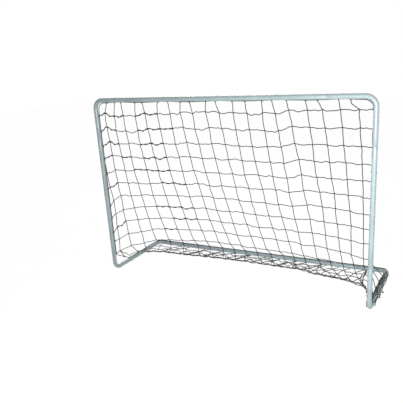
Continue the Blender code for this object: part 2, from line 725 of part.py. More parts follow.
def build_goal():
    """Make every piece of the goal."""
    tubes = frame_tubes()
    for name, seam, along, out, plug, socket in plug_joints():
        button_hole(name, seam, along, out, (tubes[plug], tubes[socket]))
        spring_clip(name, seam, along, out)
        snap_button(name, seam, along, out)
    border_cord()
    net_panels()
    net_fasteners()


build_goal()
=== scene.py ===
"""Looks of a portable soccer goal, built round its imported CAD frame.

A plug-together frame of silver-grey steel tube, 1.8 x 0.6 x 1.2 m, with a slack black cord net.
Metres, +Z up, the mouth faces -Y. The sections follow the goal as it is put together.
"""
import math

import bpy
import numpy as np
from mathutils import Matrix


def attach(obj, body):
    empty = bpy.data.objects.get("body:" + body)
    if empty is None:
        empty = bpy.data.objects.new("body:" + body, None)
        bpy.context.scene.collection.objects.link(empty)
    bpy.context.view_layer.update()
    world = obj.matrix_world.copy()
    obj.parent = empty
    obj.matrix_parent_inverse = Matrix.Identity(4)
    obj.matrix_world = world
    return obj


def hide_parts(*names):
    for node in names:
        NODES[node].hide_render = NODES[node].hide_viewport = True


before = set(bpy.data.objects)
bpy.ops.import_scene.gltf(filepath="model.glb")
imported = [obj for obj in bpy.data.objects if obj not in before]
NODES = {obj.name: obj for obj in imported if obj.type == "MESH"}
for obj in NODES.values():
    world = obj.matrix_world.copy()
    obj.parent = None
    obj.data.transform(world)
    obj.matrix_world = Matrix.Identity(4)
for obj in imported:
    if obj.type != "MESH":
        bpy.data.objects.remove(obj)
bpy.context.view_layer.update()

# Camera
# A normal lens stands 3.4 m from the goal's middle, to the right of the mouth and a little above the
# crossbar, and leans by three and a half degrees. The picture is cropped.
PICTURE = 403
FOCAL = 526.4
CENTRE_ACROSS, CENTRE_DOWN = 211.5, 225.0
SENSOR = 36.0
AZIMUTH, ELEVATION, LEAN = map(math.radians, (28.64, 18.20, -3.59))
STAND = np.array([1.405, -3.016, 1.441])


def camera_axes(azimuth, elevation, lean):
    """Right, up and backward of a camera that looks along +Y, turned, tipped and leaned."""
    ahead = np.array([-math.sin(azimuth) * math.cos(elevation),
                      math.cos(azimuth) * math.cos(elevation), -math.sin(elevation)])
    level = np.array([math.cos(azimuth), math.sin(azimuth), 0.0])
    upright = np.cross(level, ahead)
    right = math.cos(lean) * level + math.sin(lean) * upright
    up = math.cos(lean) * upright - math.sin(lean) * level
    return right, up, -ahead


camera_data = bpy.data.cameras.new("camera")
camera_data.sensor_width = SENSOR
camera_data.lens = SENSOR * FOCAL / PICTURE
camera_data.shift_x = (PICTURE / 2 - CENTRE_ACROSS) / PICTURE
camera_data.shift_y = (CENTRE_DOWN - PICTURE / 2) / PICTURE
camera = bpy.data.objects.new("camera", camera_data)
placing = np.eye(4)
placing[:3, :3] = np.stack(camera_axes(AZIMUTH, ELEVATION, LEAN), 1)
placing[:3, 3] = STAND
camera.matrix_world = Matrix(placing.tolist())
bpy.context.scene.collection.objects.link(camera)
bpy.context.scene.camera = camera

# Frame tubes
# Ten lengths of 28 mm steel tube, 1.2 mm wall, bent cold and swaged at one end so that they plug
# together, in a silver-grey powder coat.
X, Y, Z = np.eye(3)
WIDTH, DEPTH, HEIGHT = 1.800, 0.600, 1.200
TUBE, WALL = 0.014, 0.0012
POST_X, MOUTH_Y, REAR_Y = WIDTH / 2 - TUBE, TUBE - DEPTH / 2, DEPTH / 2 - TUBE
CROSSBAR_Z, BASE_Z = HEIGHT - TUBE, TUBE
TOP_BEND, FOOT_BEND, REAR_BEND = 0.055, 0.050, 0.035
LEG, REAR_LEG = 0.250, 0.200
PLUG_LONG, PLUG_SLACK, SWAGE, SEAM = 0.060, 0.0003, 0.002, 0.0003
LIP = 0.0004
TUBE_SIDES, BEND_STATIONS, LEG_STATIONS = 48, 25, 9
HOLE, HOLE_SIDES, BUTTON_BACK, POINT = 0.004, 32, 0.030, 1e-3
SHARP = math.radians(35)
PLAIN, PLUG = "plain", "plug"


def make_object(name, mesh, material, body="frame"):
    """Link a mesh as a piece with its material, riding on a body."""
    piece = bpy.data.objects.new(name, mesh)
    bpy.context.scene.collection.objects.link(piece)
    mesh.materials.append(material)
    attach(piece, body)
    return piece


def grid_mesh(name, points, along=False):
    """Mesh of a grid of points (stations, ring, 3); each square of four neighbours is a face.

    The ring closes, and the last station meets the first where along is true.
    """
    stations, ring = points.shape[:2]
    number = np.arange(stations * ring).reshape(stations, ring)
    number = np.concatenate([number, number[:, :1]], 1)
    if along:
        number = np.concatenate([number, number[:1]], 0)
    faces = np.stack([number[:-1, :-1], number[:-1, 1:], number[1:, 1:], number[1:, :-1]], -1)
    mesh = bpy.data.meshes.new(name)
    mesh.from_pydata(points.reshape(-1, 3), [], faces.reshape(-1, 4).tolist())
    mesh.update()
    return mesh


def bent_line(corner, leg_in, leg_out, long_in, bend, distance):
    """Place and heading at a distance along a leg, a quarter bend and the next leg.

    Place = corner + leg_in * (what is left of it) + bend * (leg_out * (1 - cos turn)
    - leg_in * sin turn) + leg_out * (what is past the bend).
    """
    straight = long_in - bend
    first = np.clip(distance, 0, straight)[:, None]
    turn = np.clip((distance - straight) / max(bend, 1e-9), 0, math.pi / 2)[:, None]
    last = np.clip(distance - straight - bend * math.pi / 2, 0, None)[:, None]
    place = (corner + leg_in * (long_in - first) + leg_out * last
             + bend * (leg_out * (1 - np.cos(turn)) - leg_in * np.sin(turn)))
    heading = leg_out * np.sin(turn) - leg_in * np.cos(turn)
    return place, heading / np.linalg.norm(heading, axis=1, keepdims=True)


def end_profile(kind):
    """Distance from a tube's tip and outer radius there: a rounded lip, then the swage if any."""
    if kind == PLAIN:
        return [(0, TUBE - LIP), (LIP / 3, TUBE - LIP / 4), (LIP, TUBE)]
    plug = TUBE - WALL - PLUG_SLACK
    return [(0, plug - LIP), (LIP / 3, plug - LIP / 4), (LIP, plug), (PLUG_LONG, plug),
            (PLUG_LONG + SWAGE / 4, plug * 0.85 + TUBE * 0.15),
            (PLUG_LONG + SWAGE * 3 / 4, plug * 0.15 + TUBE * 0.85), (PLUG_LONG + SWAGE, TUBE)]


def tube_mesh(name, corner, leg_in, leg_out, legs, bend, ends):
    """A tube wall: circles carried along the line outside, and back along it inside.

    Point = place + radius * (cos a * side + sin a * heading x side).
    """
    whole = sum(legs) - 2 * bend + bend * math.pi / 2
    near, far = end_profile(ends[0]), end_profile(ends[1])
    marks = near + [(whole - gone, radius) for gone, radius in reversed(far)]
    at, radius = np.array(marks).T
    bent = legs[0] - bend + np.linspace(0, bend * math.pi / 2, BEND_STATIONS)
    legs_at = np.linspace(near[-1][0], whole - far[-1][0], LEG_STATIONS)
    distance = np.unique(np.concatenate([at, bent if bend else bent[:1], legs_at]).round(7))
    distance = distance[np.append(np.diff(distance) > 1e-5, True)]
    outside = np.interp(distance, at, radius)
    line, heading = bent_line(corner, leg_in, leg_out, legs[0], bend, distance)
    side = np.cross(leg_in, leg_out) if bend else np.roll(leg_out, 1)
    across = np.cross(heading, side)
    turn = np.linspace(0, 2 * math.pi, TUBE_SIDES, endpoint=False)[:, None]
    ring = np.cos(turn) * side + np.sin(turn) * across[:, None]
    outer = line[:, None] + ring * outside[:, None, None]
    inner = line[:, None] + ring * (outside - WALL)[:, None, None]
    return grid_mesh(name, np.concatenate([outer, inner[::-1]]), along=True)


def hole_cutter(centre, facing):
    """A drum from the tube's middle out through one wall, with its ends drawn to a point."""
    side = np.roll(facing, 1)
    turn = np.linspace(0, 2 * math.pi, HOLE_SIDES, endpoint=False)[:, None]
    ring = HOLE * (np.cos(turn) * side + np.sin(turn) * np.cross(facing, side))
    drum = np.stack([centre + ring * POINT, centre + ring, centre + ring + facing * 2 * TUBE,
                     centre + ring * POINT + facing * 2 * TUBE])
    cutter = bpy.data.objects.new("cutter", grid_mesh("cutter", drum))
    bpy.context.scene.collection.objects.link(cutter)
    return cutter


def drill(piece, holes):
    """Cut the button holes through a tube and keep the result as its mesh."""
    cutters = [hole_cutter(centre, facing) for centre, facing in holes]
    for cutter in cutters:
        step = piece.modifiers.new("hole", "BOOLEAN")
        step.object = cutter
    bpy.context.view_layer.update()
    result = piece.evaluated_get(bpy.context.evaluated_depsgraph_get())
    drilled = bpy.data.meshes.new_from_object(result)
    piece.modifiers.clear()
    piece.data = drilled
    for cutter in cutters:
        bpy.data.objects.remove(cutter)
    drilled.shade_smooth()
    drilled.set_sharp_from_angle(angle=SHARP)


def linear(text):
    """An sRGB hex colour as linear RGBA: c / 12.92 below 0.04045, else ((c + 0.055) / 1.055) ** 2.4."""
    share = np.array([int(text[place:place + 2], 16) for place in (1, 3, 5)]) / 255
    value = np.where(share < 0.04045, share / 12.92, ((share + 0.055) / 1.055) ** 2.4)
    return (*value.tolist(), 1.0)


def add_node(material, kind, values=None, links=None, **settings):
    """Add one node with its settings, socket values and links."""
    node = material.node_tree.nodes.new(kind)
    for name, value in settings.items():
        setattr(node, name, value)
    for socket, value in (values or {}).items():
        node.inputs[socket].default_value = value
    for socket, source in (links or {}).items():
        material.node_tree.links.new(source, node.inputs[socket])
    return node


def new_finish(name, values):
    """An empty material with one Principled shader, and that shader."""
    material = bpy.data.materials.new(name)
    material.use_nodes = True
    shader = material.node_tree.nodes["Principled BSDF"]
    for socket, value in values.items():
        shader.inputs[socket].default_value = value
    return material, shader


def link(material, source, shader, socket):
    """Join an output to the shader."""
    material.node_tree.links.new(source, shader.inputs[socket])


# Silver-grey powder coat on steel tube: a satin resin baked on. The eye sees a cool pale grey with
# one soft streak along each tube, faint clouding, orange peel of about 2 mm and rubbed patches.
PAINT, paint = new_finish("silver_grey_powder_coat", {"Metallic": 0.05, "Coat Weight": 0.60,
                                                      "Coat Roughness": 0.18})
place = add_node(PAINT, "ShaderNodeTexCoord").outputs["Object"]
CLOUD_MM, PEEL_MM, RUB_MM = 90, 2, 25
clouds = add_node(PAINT, "ShaderNodeTexNoise", {"Scale": 1000 / CLOUD_MM, "Detail": 3.0},
                  {"Vector": place})
tint = add_node(PAINT, "ShaderNodeValToRGB", links={"Fac": clouds.outputs["Fac"]})
tint.color_ramp.elements[0].color = linear("#a0b2b6")
tint.color_ramp.elements[0].position = 0.35
tint.color_ramp.elements[1].color = linear("#acbec2")
tint.color_ramp.elements[1].position = 0.65
rubs = add_node(PAINT, "ShaderNodeTexNoise", {"Scale": 1000 / RUB_MM, "Detail": 6.0, "Roughness": 0.75},
                {"Vector": place})
worn = add_node(PAINT, "ShaderNodeMapRange", {"From Min": 0.62, "From Max": 0.80, "To Max": 0.4},
                {"Value": rubs.outputs["Fac"]})
# a colour mix has its factor at socket 0, its colours at 6 and 7, and its result at 2
coat = add_node(PAINT, "ShaderNodeMix", {7: linear("#8b999e")},
                {0: worn.outputs["Result"], 6: tint.outputs["Color"]}, data_type="RGBA")
link(PAINT, coat.outputs[2], paint, "Base Color")
satin = add_node(PAINT, "ShaderNodeMapRange", {"To Min": 0.40, "To Max": 0.54},
                 {"Value": clouds.outputs["Fac"]})
link(PAINT, satin.outputs["Result"], paint, "Roughness")
peel = add_node(PAINT, "ShaderNodeTexNoise", {"Scale": 1000 / PEEL_MM}, {"Vector": place})
bump = add_node(PAINT, "ShaderNodeBump", {"Strength": 0.08, "Distance": 0.0001},
                {"Height": peel.outputs["Fac"]})
link(PAINT, bump.outputs["Normal"], paint, "Normal")

tubes = {
    "crossbar_tube": (np.array([0, MOUTH_Y, CROSSBAR_Z]), -X, X,
                      (POST_X - LEG - SEAM,) * 2, 0, (PLAIN, PLAIN)),
    "rear_tube": (np.array([0, REAR_Y, BASE_Z]), -X, X,
                  (POST_X - REAR_LEG - SEAM,) * 2, 0, (PLAIN, PLAIN)),
}
holes = {}
for side, sign in (("left", -1), ("right", 1)):
    post_half = (CROSSBAR_Z - BASE_Z) / 2 - LEG - SEAM
    top = np.array([sign * POST_X, MOUTH_Y, CROSSBAR_Z])
    foot = np.array([sign * POST_X, MOUTH_Y, BASE_Z])
    rear = np.array([sign * POST_X, REAR_Y, BASE_Z])
    tubes[f"post_tube_{side}"] = ((top + foot) / 2, -Z, Z, (post_half,) * 2, 0, (PLAIN, PLAIN))
    tubes[f"top_corner_tube_{side}"] = (top, -sign * X, -Z, (LEG + PLUG_LONG,) * 2, TOP_BEND, (PLUG, PLUG))
    tubes[f"foot_tube_{side}"] = (foot, Z, Y, (LEG + PLUG_LONG,) * 2, FOOT_BEND, (PLUG, PLUG))
    side_long = REAR_Y - MOUTH_Y - LEG - SEAM
    tubes[f"rear_corner_tube_{side}"] = (rear, -Y, -sign * X, (side_long, REAR_LEG + PLUG_LONG),
                                         REAR_BEND, (PLAIN, PLUG))
    joints = [
        ("crossbar_tube", f"top_corner_tube_{side}", top - sign * X * (LEG + BUTTON_BACK), Y),
        (f"post_tube_{side}", f"top_corner_tube_{side}", top - Z * (LEG + BUTTON_BACK), Y),
        (f"post_tube_{side}", f"foot_tube_{side}", foot + Z * (LEG + BUTTON_BACK), Y),
        (f"rear_corner_tube_{side}", f"foot_tube_{side}", foot + Y * (LEG + BUTTON_BACK), -sign * X),
        ("rear_tube", f"rear_corner_tube_{side}", rear - sign * X * (REAR_LEG + BUTTON_BACK), -Y),
    ]
    for socket, plug, centre, facing in joints:
        holes.setdefault(socket, []).append((centre, facing))
        holes.setdefault(plug, []).append((centre, facing))
for name, shape in tubes.items():
    tube = make_object(f"{name}_coated", tube_mesh(name, *shape), PAINT)
    drill(tube, holes[name])
    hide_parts(name)

# Spring clips and snap buttons
# Strips of spring steel bent into a U, with a pressed button on the free leg, zinc plated. They click
# out through the holes.
# Zinc-plated spring steel: bright grey with a slightly cloudy plating.
SPRING, spring = new_finish("zinc_plated_spring_steel", {"Metallic": 1.0, "Roughness": 0.32})
place = add_node(SPRING, "ShaderNodeTexCoord").outputs["Object"]
PLATING_MM = 3
plating = add_node(SPRING, "ShaderNodeTexNoise", {"Scale": 1000 / PLATING_MM, "Detail": 4.0},
                   {"Vector": place})
tint = add_node(SPRING, "ShaderNodeValToRGB", links={"Fac": plating.outputs["Fac"]})
tint.color_ramp.elements[0].color = linear("#a9acae")
tint.color_ramp.elements[1].color = linear("#cfd2d4")
link(SPRING, tint.outputs["Color"], spring, "Base Color")
for name, node in NODES.items():
    if name.startswith(("spring_clip_", "snap_button_")):
        node.material_slots[0].material = SPRING

# Border cord
# A 5 mm braided black rope runs round the mouth behind the tubes, cuts the corner at each foot and
# lies on top of the base tubes.
ROPE, ROPE_SIDES = 0.0025, 12
TOUCH = 0.0003
ROPE_OUT = TUBE + TOUCH + ROPE
ROPE_IN = ROPE_OUT / math.sqrt(2)
FOOT_CUT_UP, FOOT_CUT_BACK, FOOT_ROUND = 0.100, 0.165, 0.015
ROPE_X, ROPE_Y, ROPE_Z = POST_X - ROPE_IN, MOUTH_Y + ROPE_IN, CROSSBAR_Z - ROPE_IN
ROPE_LOW = BASE_Z + ROPE_OUT
TIE_SPACING, LAST_TIE_X, LAST_TIE_Z = 0.360, 0.720, 1.080
CROSSBAR_SAG, BEND_SAG = 0.005, 0.008
ROPE_STEP, ROUND_STEPS, TURN_STEPS = 0.012, 13, 9


def unit(vectors):
    """Each vector at length one."""
    return vectors / np.maximum(np.linalg.norm(vectors, axis=-1, keepdims=True), 1e-9)


def cord_rings(path, guide, radius, sides, closed=False):
    """Rings of a round cord: centre + radius * (cos a * side + sin a * heading x side).

    The side is the guide direction made square to the cord, so the cord doesn't twist.
    """
    if closed:
        heading = unit(np.roll(path, -1, 0) - np.roll(path, 1, 0))
    else:
        heading = unit(np.gradient(path, axis=0))
    side = unit(guide - heading * np.sum(heading * guide, -1, keepdims=True))
    across = np.cross(heading, side)
    turn = np.linspace(0, 2 * math.pi, sides, endpoint=False)[:, None]
    return path[:, None] + radius * (np.cos(turn) * side[:, None] + np.sin(turn) * across[:, None])


def cords_mesh(name, paths, radius, sides, closed=False):
    """One mesh of many round cords from (path, guide) pairs, closed at their ends, with a UV map.

    U goes once round the cord and V is the distance along it in metres.
    """
    points, faces, loop_uv, caps, cap_uv, start = [], [], [], [], [], 0
    for path, guide in paths:
        rings = cord_rings(path, guide, radius, sides, closed)
        count = len(rings)
        step = np.linalg.norm(np.diff(path, axis=0, append=path[:1]), axis=1)
        along = np.concatenate([[0], np.cumsum(step)])
        number = np.arange(count * sides).reshape(count, sides)
        number = np.concatenate([number, number[:, :1]], 1)
        if closed:
            number = np.concatenate([number, number[:1]], 0)
        number = number + start
        faces.append(np.stack([number[:-1, :-1], number[:-1, 1:], number[1:, 1:], number[1:, :-1]],
                              -1).reshape(-1, 4))
        u, v = np.meshgrid(np.arange(sides + 1) / sides, along[:len(number)])
        uv = np.stack([u, v], -1)
        loop_uv.append(np.stack([uv[:-1, :-1], uv[:-1, 1:], uv[1:, 1:], uv[1:, :-1]],
                                2).reshape(-1, 2))
        if not closed:
            caps += [number[0, :-1][::-1], number[-1, :-1]]
            cap_uv += [np.zeros((2 * sides, 2))]
        points.append(rings.reshape(-1, 3))
        start += count * sides
    mesh = bpy.data.meshes.new(name)
    everything = np.concatenate(faces).tolist() + [cap.tolist() for cap in caps]
    mesh.from_pydata(np.concatenate(points), [], everything)
    layer = mesh.uv_layers.new(name="along")
    layer.data.foreach_set("uv", np.concatenate(loop_uv + cap_uv).astype(np.float32).ravel())
    mesh.shade_smooth()
    mesh.update()
    return mesh


def soft_turn(before, corner, after):
    """A slack turn at a corner: a parabola from one neighbour's side to the other's."""
    start = corner + (before - corner) / np.linalg.norm(before - corner) * FOOT_ROUND
    end = corner + (after - corner) / np.linalg.norm(after - corner) * FOOT_ROUND
    share = np.linspace(0, 1, TURN_STEPS)[:, None]
    return start * (1 - share) ** 2 + corner * 2 * share * (1 - share) + end * share ** 2


def rope_bend(corner, leg_in, leg_out, radius):
    """Points of a quarter bend between two legs."""
    distance = np.linspace(0, radius * math.pi / 2, ROUND_STEPS)
    return bent_line(corner, leg_in, leg_out, radius, radius, distance)[0]


def rope_slack(places):
    """Let the rope hang down between the crossbar's ties and cut inwards round the top bends.

    Drop = depth * |sin(pi * x / tie spacing)|, and round a bend depth * sin(pi * share of the way).
    """
    across, high = np.abs(places[:, 0]), places[:, 2]
    on_top = (across < LAST_TIE_X) & (high > LAST_TIE_Z)
    drop = CROSSBAR_SAG * np.abs(np.sin(math.pi * across / TIE_SPACING)) * on_top
    round_bend = (across >= LAST_TIE_X) & (high > LAST_TIE_Z)
    gone = (across - LAST_TIE_X + ROPE_Z - high) / (ROPE_X - LAST_TIE_X + ROPE_Z - LAST_TIE_Z)
    cut = BEND_SAG * np.sin(math.pi * np.clip(gone, 0, 1)) * round_bend / math.sqrt(2)
    return places - Z * (drop + cut)[:, None] - X * (np.sign(places[:, 0]) * cut)[:, None]


def rope_line():
    """The rope's centre line: two top bends, the right foot, two rear bends, the left foot."""
    feet = {}
    for sign in (-1, 1):
        leaves = np.array([sign * ROPE_X, ROPE_Y, BASE_Z + FOOT_CUT_UP])
        lands = np.array([sign * POST_X, MOUTH_Y + FOOT_CUT_BACK, ROPE_LOW])
        feet[sign] = np.concatenate([soft_turn(leaves + Z, leaves, lands),
                                     soft_turn(leaves, lands, lands + Y)])
    corners = np.concatenate([
        rope_bend(np.array([-ROPE_X, ROPE_Y, ROPE_Z]), -Z, X, TOP_BEND - ROPE_IN),
        rope_bend(np.array([ROPE_X, ROPE_Y, ROPE_Z]), -X, -Z, TOP_BEND - ROPE_IN),
        feet[1],
        rope_bend(np.array([POST_X, REAR_Y, ROPE_LOW]), -Y, -X, REAR_BEND),
        rope_bend(np.array([-POST_X, REAR_Y, ROPE_LOW]), X, -Y, REAR_BEND),
        feet[-1][::-1],
    ])
    ahead = np.roll(corners, -1, 0)
    gap = np.linalg.norm(ahead - corners, axis=1)
    pieces = np.maximum(1, np.round(gap / ROPE_STEP)).astype(int)
    owner = np.repeat(np.arange(len(corners)), pieces)
    within = np.arange(len(owner)) - np.repeat(np.cumsum(pieces) - pieces, pieces)
    share = (within / pieces[owner])[:, None]
    return rope_slack(corners[owner] * (1 - share) + ahead[owner] * share)


# Braided black polypropylene rope: matt with a faint plastic sheen, plaited in a 6 mm pitch.
BRAID, braid = new_finish("black_braided_rope", {"Roughness": 0.62, "Sheen Weight": 0.15})
uv = add_node(BRAID, "ShaderNodeUVMap", uv_map="along").outputs["UV"]
PLAIT_MM, PLAIT_STRANDS = 6, 4
plaits = []
for way in (1, -1):
    # a diagonal wave turns ten times its scale, so one turn is 2 pi / 10
    lay = add_node(BRAID, "ShaderNodeMapping", {
        "Scale": (way * PLAIT_STRANDS * math.pi / 5, math.pi / 5 * 1000 / PLAIT_MM, 0.0)}, {"Vector": uv})
    plaits.append(add_node(BRAID, "ShaderNodeTexWave", links={"Vector": lay.outputs["Vector"]},
                           bands_direction="DIAGONAL").outputs["Fac"])
over = add_node(BRAID, "ShaderNodeMath", links={0: plaits[0], 1: plaits[1]}, operation="MAXIMUM")
# painted shade and highlight: the plait is darker in the grooves between strands, paler on their crests
tint = add_node(BRAID, "ShaderNodeValToRGB", links={"Fac": over.outputs["Value"]})
tint.color_ramp.elements[0].color = linear("#161c1b")
tint.color_ramp.elements[1].color = linear("#3a4442")
link(BRAID, tint.outputs["Color"], braid, "Base Color")
bump = add_node(BRAID, "ShaderNodeBump", {"Strength": 0.6, "Distance": 0.0004},
                {"Height": over.outputs["Value"]})
link(BRAID, bump.outputs["Normal"], braid, "Normal")

rope_path = rope_line()
inward = np.array([0, 0, HEIGHT / 2]) - rope_path
rope_mesh = cords_mesh("border_rope", [(rope_path, inward)], ROPE, ROPE_SIDES, closed=True)
rope = make_object("border_rope", rope_mesh, BRAID)
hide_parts("net_border_cord")

# Ties and clips
# Grey nylon cable ties hold the rope to the crossbar and the posts. Springy nylon clips, open
# underneath, hold it on the base tubes.
# Moulded grey nylon in the paint's shade: slightly glossy, light goes a little way in.
NYLON, nylon = new_finish("grey_nylon", {"Roughness": 0.38, "Subsurface Weight": 0.15,
                                         "Subsurface Radius": (0.002, 0.0018, 0.0015)})
place = add_node(NYLON, "ShaderNodeTexCoord").outputs["Object"]
FLOW_MM = 8
flow = add_node(NYLON, "ShaderNodeTexNoise", {"Scale": 1000 / FLOW_MM}, {"Vector": place})
tint = add_node(NYLON, "ShaderNodeValToRGB", links={"Fac": flow.outputs["Fac"]})
tint.color_ramp.elements[0].color = linear("#a9b7bc")
tint.color_ramp.elements[1].color = linear("#c3cfd3")
link(NYLON, tint.outputs["Color"], nylon, "Base Color")
for name, node in NODES.items():
    if name.startswith(("cable_tie_", "net_clip_")):
        node.material_slots[0].material = NYLON

# Net
# A knotted net of 5 mm black twine, about 0.1 m mesh, hitched to the rope. It hangs slack at the top
# and pulls taut round soft corners at the bottom. Each knot is set out by its height and its distance
# round the sides and the back.
TWINE, TWINE_SIDES, KINKS, CORD_STEPS = 0.0026, 6, 4, 3
ROWS, BACK_COLUMNS, RIGHT_COLUMNS = 11, 20, 5
HANG_Y, HANG_Z, LAND_Z = -0.270, 1.170, 0.036
# How far knots stray, the length from which a cord sways in full, and how far rows and columns sway
KNOT_STRAY, WHOLE_SWAY = 0.0022, 0.090
ROW_SWAY, COLUMN_SWAY, FOOT_SWAY = 0.0019, 0.0009, 0.004
# What is added to the top row's sway at the left, its share at the right, and the rows it fades over
TOP_SWAY, TOP_SWAY_RIGHT, SWAY_ROWS = 0.0020, 0.3, 2.5
# A kink's spread beside the main direction, a bow's middle and spread, and how round the cord turns
KINK_SPREAD, BOW_MIDDLE, BOW_SPREAD, EASE = 0.35, -0.3, 1.3, 0.7
draws = np.random.default_rng(11)

# Distance round the net from the left post to each column at the first and the last row
FIRST_ROUND = np.array([0.057, 0.131, 0.202, 0.301, 0.375, 0.468, 0.558, 0.631, 0.717, 0.809, 0.893,
                        0.988, 1.073, 1.168, 1.247, 1.318, 1.422, 1.505, 1.602, 1.698])
LAST_ROUND = np.array([0.177, 0.343, 0.496, 0.632, 0.760, 0.866, 0.972, 1.081, 1.175, 1.268, 1.378,
                       1.470, 1.568, 1.660, 1.753, 1.848, 1.938, 2.025, 2.110, 2.190])
# How far each column bows to the left at mid height, at columns 1, 4, 8, 14, 16 and 20
BOW_AT, BOW = (1, 4, 8, 14, 16, 20), (0.005, 0.030, 0.030, 0.021, 0.009, 0.003)
# Height of each column's knot on the first and the last row, and how far its middle knots are lifted
FIRST_HIGH = np.array([1.099, 1.076, 1.082, 1.082, 1.094, 1.094, 1.094, 1.106, 1.097, 1.108, 1.098,
                       1.096, 1.097, 1.095, 1.095, 1.118, 1.113, 1.115, 1.116, 1.114])
LAST_HIGH = np.array([0.120, 0.086, 0.062, 0.053, 0.059, 0.069, 0.078, 0.082, 0.076, 0.069, 0.072,
                      0.063, 0.064, 0.065, 0.050, 0.044, 0.030, 0.010, -0.010, -0.030])
LIFT_AT, LIFT = (1, 15, 16, 20), (0.0, 0.002, 0.015, 0.033)
# Where the columns are hitched on the crossbar and on the base, and the rows on the posts
CROSSBAR_AT = np.array([-0.807, -0.742, -0.690, -0.582, -0.529, -0.413, -0.342, -0.252, -0.191, -0.081,
                        -0.020, 0.088, 0.167, 0.269, 0.326, 0.411, 0.517, 0.581, 0.693, 0.757])
REAR_AT = np.array([-0.778, -0.659, -0.529, -0.426, -0.314, -0.215, -0.124, -0.032, 0.077, 0.172,
                    0.248, 0.329, 0.432, 0.508, 0.591, 0.666, 0.733])
LEFT_POST_AT = np.array([1.084, 0.984, 0.885, 0.801, 0.698, 0.600, 0.476, 0.388, 0.284, 0.218, 0.123])
RIGHT_POST_AT = 1.100 - 0.0985 * np.arange(ROWS)
RIGHT_POST_TOPS = (1.128, 1.060, 0.960, 0.760, 0.560)
# The column beside the left post leaves it at the fifth row
EDGE_ROUND = np.array([0.008, 0.020, 0.042, 0.048, 0.046, 0.050, 0.044])
EDGE_HIGH = np.array([0.700, 0.600, 0.500, 0.402, 0.305, 0.213, 0.129])
EDGE_FROM = ROWS - len(EDGE_ROUND)
# The rows at which the last four columns leave the right post, the first column that ends before the
# last row, and the hitch on the rear tube at which the last row ends
RIGHT_FROM, SHORT_FROM, LAST_ENDS_AT = (1, 2, 4, 6), 17, 14
# How far out the fold between the back and the right side lies, and how softly corners turn, by height
FOLD_AT, FOLD_X = (0, 0.3, 0.6, 0.9, 1.17), (0.783, 0.802, 0.830, 0.856, 0.880)
SOFT_AT, LEFT_SOFT, RIGHT_SOFT = (0.1, 0.3, 0.6, 1.17), (0.17, 0.15, 0.10, 0.01), 0.05
# The right side's columns share slightly more than the side, the first of them part of a mesh from
# its start and never nearer to column 20 than the gap, and rise to the post in equal steps
RIGHT_SHARED, FIRST_RIGHT_SHARE, LEAST_COLUMN_GAP = 1.02, 0.35, 0.045
FIRST_RISE, WHOLE_RISE = 0.05, 0.9


def back_y(high):
    """How far back the sloping net is at a height."""
    return HANG_Y + (HANG_Z - high) * (REAR_Y - HANG_Y) / (HANG_Z - LAND_Z)


def soft_corner(gone, corner, radius, ahead, away):
    """What a slack corner adds to a sharp one: inside the radius the path is a parabola.

    With t from 0 to 1 through the corner: ahead * r * (max(1 - 2t, 0) - (1 - t)^2)
    + away * r * (t^2 - max(2t - 1, 0)).
    """
    share = np.clip((gone - corner + radius) / (2 * radius), 0, 1)
    back = radius * (np.maximum(1 - 2 * share, 0) - (1 - share) ** 2)
    out = radius * (share ** 2 - np.maximum(2 * share - 1, 0))
    return ahead * back[..., None] + away * out[..., None]


def round_lengths(high):
    """Lengths of the left side, the back and the right side of the net at a height."""
    side = back_y(high) - ROPE_Y
    fold = np.interp(high, FOLD_AT, FOLD_X)
    return side, fold + ROPE_X, np.hypot(ROPE_X - fold, side)


def net_place(gone, high):
    """Place on the net at a distance round from the left post and a height.

    The left side goes straight back, the back goes across and the right side comes forward
    and out to the right post, with a soft corner at each turn.
    """
    side, back, right = round_lengths(high)
    last_way = np.stack([ROPE_X - (back - ROPE_X), -side, 0 * side], -1) / right[..., None]
    place = (np.stack([-ROPE_X + 0 * high, ROPE_Y + 0 * high, high], -1)
             + Y * np.clip(gone, 0, side)[..., None]
             + X * np.clip(gone - side, 0, back)[..., None]
             + last_way * np.clip(gone - side - back, 0, right)[..., None])
    left_soft = np.minimum(np.interp(high, SOFT_AT, LEFT_SOFT), side)
    right_soft = np.minimum(RIGHT_SOFT, side)
    place += soft_corner(gone, side, left_soft, Y, X)
    return place + soft_corner(gone, side + back, right_soft, X, last_way)


def knot_grid():
    """Distance round and height of every knot, rows down and columns across.

    From the first row to the last both go straight, with a bow of 4 t (1 - t). The right
    side's columns share out what is left of each row between the back and the right post.
    """
    share = np.linspace(0, 1, ROWS)[:, None]
    arch = 4 * share * (1 - share)
    number = np.arange(1, BACK_COLUMNS + 1)
    gone = FIRST_ROUND + (LAST_ROUND - FIRST_ROUND) * share - arch * np.interp(number, BOW_AT, BOW)
    high = FIRST_HIGH + (LAST_HIGH - FIRST_HIGH) * share + arch * np.interp(number, LIFT_AT, LIFT)
    gone += draws.normal(0, KNOT_STRAY, gone.shape)
    high += draws.normal(0, KNOT_STRAY, high.shape)
    high = np.maximum(high, LAND_Z)
    post_high = RIGHT_POST_AT[:, None]
    whole = sum(round_lengths(post_high))
    part = (np.arange(RIGHT_COLUMNS) + FIRST_RIGHT_SHARE) / RIGHT_COLUMNS
    right_start = whole - round_lengths(post_high)[2] * RIGHT_SHARED
    corner = np.maximum(gone[:, -1:] + LEAST_COLUMN_GAP, right_start)
    right_gone = corner + (whole - corner) * part
    right_high = high[:, -1:] + (post_high - high[:, -1:]) * (part * WHOLE_RISE + FIRST_RISE)
    edge_gone = np.concatenate([np.zeros(EDGE_FROM), EDGE_ROUND])[:, None]
    edge_high = np.concatenate([LEFT_POST_AT[:EDGE_FROM], EDGE_HIGH])[:, None]
    return (np.concatenate([edge_gone, gone, right_gone], 1),
            np.concatenate([edge_high, high, right_high], 1))


